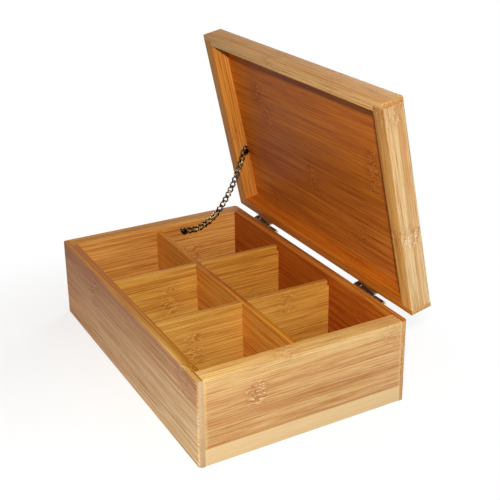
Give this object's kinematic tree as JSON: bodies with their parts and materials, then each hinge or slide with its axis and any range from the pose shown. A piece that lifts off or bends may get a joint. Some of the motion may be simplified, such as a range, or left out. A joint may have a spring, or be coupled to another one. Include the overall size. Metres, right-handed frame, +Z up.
{
  "type": "tea bag organizer box",
  "caption": "Wooden box with open compartments for tea bags and a framed lid on rear hinges, with a slack stay chain at the left end.",
  "frame": {"origin": "centre of the box outline on the underside, on the table", "axes": "+X towards the right end, +Y towards the hinges at the rear, +Z up"},
  "size_m": [0.28, 0.2008, 0.248],
  "materials": {
    "box_wood": "satin clear-coated bamboo boards",
    "divider_wood": "satin clear-coated bamboo slats",
    "panel_wood": "satin bamboo panel, deeper brown",
    "lid_wood": "satin clear-coated bamboo rails",
    "bronze": "antique bronze, dark with rubbed edges"
  },
  "bodies": {
    "box": {"front_board": "box_wood", "rear_board": "box_wood", "left_end_board": "box_wood", "right_end_board": "box_wood", "bottom_panel": "panel_wood", "long_divider": "divider_wood", "left_cross_divider": "divider_wood", "right_cross_divider": "divider_wood", "left_base_leaf": "bronze", "right_base_leaf": "bronze", "left_hinge_pin": "bronze", "right_hinge_pin": "bronze", "base_leaf_screws": "bronze", "chain_low_screw": "bronze"},
    "lid": {"lid_front_rail": "lid_wood", "lid_rear_rail": "lid_wood", "lid_left_rail": "lid_wood", "lid_right_rail": "lid_wood", "lid_panel": "panel_wood", "left_lid_leaf": "bronze", "right_lid_leaf": "bronze", "lid_leaf_screws": "bronze", "chain_high_screw": "bronze"},
    "chain_link_01": {"chain_link_01": "bronze"},
    "chain_links_02_03": {"chain_link_02": "bronze", "chain_link_03": "bronze"},
    "chain_links_04_05": {"chain_link_04": "bronze", "chain_link_05": "bronze"},
    "chain_links_06_07": {"chain_link_06": "bronze", "chain_link_07": "bronze"},
    "chain_links_08_09": {"chain_link_08": "bronze", "chain_link_09": "bronze"},
    "chain_links_10_11": {"chain_link_10": "bronze", "chain_link_11": "bronze"},
    "chain_link_12": {"chain_link_12": "bronze"},
    "chain_link_13": {"chain_link_13": "bronze"},
    "chain_link_14": {"chain_link_14": "bronze"},
    "chain_link_15": {"chain_link_15": "bronze"},
    "chain_link_16": {"chain_link_16": "bronze"},
    "chain_link_17": {"chain_link_17": "bronze"},
    "chain_link_18": {"chain_link_18": "bronze"},
    "chain_link_19": {"chain_link_19": "bronze"},
    "chain_end_ring": {"chain_end_ring": "bronze"}
  },
  "joints": [
    {"name": "lid_hinge", "type": "hinge", "parent": "box", "child": "lid", "pos_m": [0, 0.092, 0.0674], "axis": [-1, 0, 0], "range_deg": [-78, 7]},
    {"name": "chain_link_01_turn", "type": "hinge", "parent": "box", "child": "chain_link_01", "pos_m": [-0.1232, 0.023, 0.063], "axis": [1, 0, 0], "range_deg": [-70, 8]},
    {"name": "chain_links_02_03_turn", "type": "hinge", "parent": "chain_link_01", "child": "chain_links_02_03", "pos_m": [-0.1232, 0.02824, 0.06191], "axis": [1, 0, 0], "range_deg": [-3, 17]},
    {"name": "chain_links_04_05_turn", "type": "hinge", "parent": "chain_links_02_03", "child": "chain_links_04_05", "pos_m": [-0.1232, 0.03889, 0.06241], "axis": [1, 0, 0], "range_deg": [-4, 20]},
    {"name": "chain_links_06_07_turn", "type": "hinge", "parent": "chain_links_04_05", "child": "chain_links_06_07", "pos_m": [-0.1232, 0.04885, 0.06624], "axis": [1, 0, 0], "range_deg": [-4, 20]},
    {"name": "chain_links_08_09_turn", "type": "hinge", "parent": "chain_links_06_07", "child": "chain_links_08_09", "pos_m": [-0.1232, 0.0575, 0.07251], "axis": [1, 0, 0], "range_deg": [-4, 21]},
    {"name": "chain_links_10_11_turn", "type": "hinge", "parent": "chain_links_08_09", "child": "chain_links_10_11", "pos_m": [-0.1232, 0.06483, 0.08029], "axis": [1, 0, 0], "range_deg": [-4, 22]},
    {"name": "chain_link_12_turn", "type": "hinge", "parent": "chain_links_10_11", "child": "chain_link_12", "pos_m": [-0.1232, 0.07103, 0.089], "axis": [1, 0, 0], "range_deg": [-3, 16]},
    {"name": "chain_link_13_turn", "type": "hinge", "parent": "chain_link_12", "child": "chain_link_13", "pos_m": [-0.1232, 0.07379, 0.09359], "axis": [1, 0, 0], "range_deg": [-4, 19]},
    {"name": "chain_link_14_turn", "type": "hinge", "parent": "chain_link_13", "child": "chain_link_14", "pos_m": [-0.1232, 0.07636, 0.09828], "axis": [1, 0, 0], "range_deg": [-6, 48]},
    {"name": "chain_link_15_turn", "type": "hinge", "parent": "chain_link_14", "child": "chain_link_15", "pos_m": [-0.1232, 0.07875, 0.10307], "axis": [1, 0, 0], "range_deg": [-6, 48]},
    {"name": "chain_link_16_turn", "type": "hinge", "parent": "chain_link_15", "child": "chain_link_16", "pos_m": [-0.1232, 0.08099, 0.10793], "axis": [1, 0, 0], "range_deg": [-6, 49]},
    {"name": "chain_link_17_turn", "type": "hinge", "parent": "chain_link_16", "child": "chain_link_17", "pos_m": [-0.1232, 0.08309, 0.11285], "axis": [1, 0, 0], "range_deg": [-52, 6]},
    {"name": "chain_link_18_turn", "type": "hinge", "parent": "chain_link_17", "child": "chain_link_18", "pos_m": [-0.1232, 0.08507, 0.11782], "axis": [1, 0, 0], "range_deg": [-51, 6]},
    {"name": "chain_link_19_turn", "type": "hinge", "parent": "chain_link_18", "child": "chain_link_19", "pos_m": [-0.1232, 0.08694, 0.12283], "axis": [1, 0, 0], "range_deg": [-30, 5]},
    {"name": "chain_end_ring_turn", "type": "hinge", "parent": "chain_link_19", "child": "chain_end_ring", "pos_m": [-0.1232, 0.08871, 0.12788], "axis": [1, 0, 0], "range_deg": [-2, 7]}
  ],
  "couplings": [
    {"joint": "chain_link_01_turn", "follows": "lid_hinge", "ratio": 0.87},
    {"joint": "chain_links_02_03_turn", "follows": "lid_hinge", "ratio": -0.196},
    {"joint": "chain_links_04_05_turn", "follows": "lid_hinge", "ratio": -0.225},
    {"joint": "chain_links_06_07_turn", "follows": "lid_hinge", "ratio": -0.226},
    {"joint": "chain_links_08_09_turn", "follows": "lid_hinge", "ratio": -0.244},
    {"joint": "chain_links_10_11_turn", "follows": "lid_hinge", "ratio": -0.254},
    {"joint": "chain_link_12_turn", "follows": "lid_hinge", "ratio": -0.184},
    {"joint": "chain_link_13_turn", "follows": "lid_hinge", "ratio": -0.218},
    {"joint": "chain_link_14_turn", "follows": "lid_hinge", "ratio": -0.589},
    {"joint": "chain_link_15_turn", "follows": "lid_hinge", "ratio": -0.594},
    {"joint": "chain_link_16_turn", "follows": "lid_hinge", "ratio": -0.597},
    {"joint": "chain_link_17_turn", "follows": "lid_hinge", "ratio": 0.635},
    {"joint": "chain_link_18_turn", "follows": "lid_hinge", "ratio": 0.632},
    {"joint": "chain_link_19_turn", "follows": "lid_hinge", "ratio": 0.365},
    {"joint": "chain_end_ring_turn", "follows": "lid_hinge", "ratio": -0.06}
  ]
}
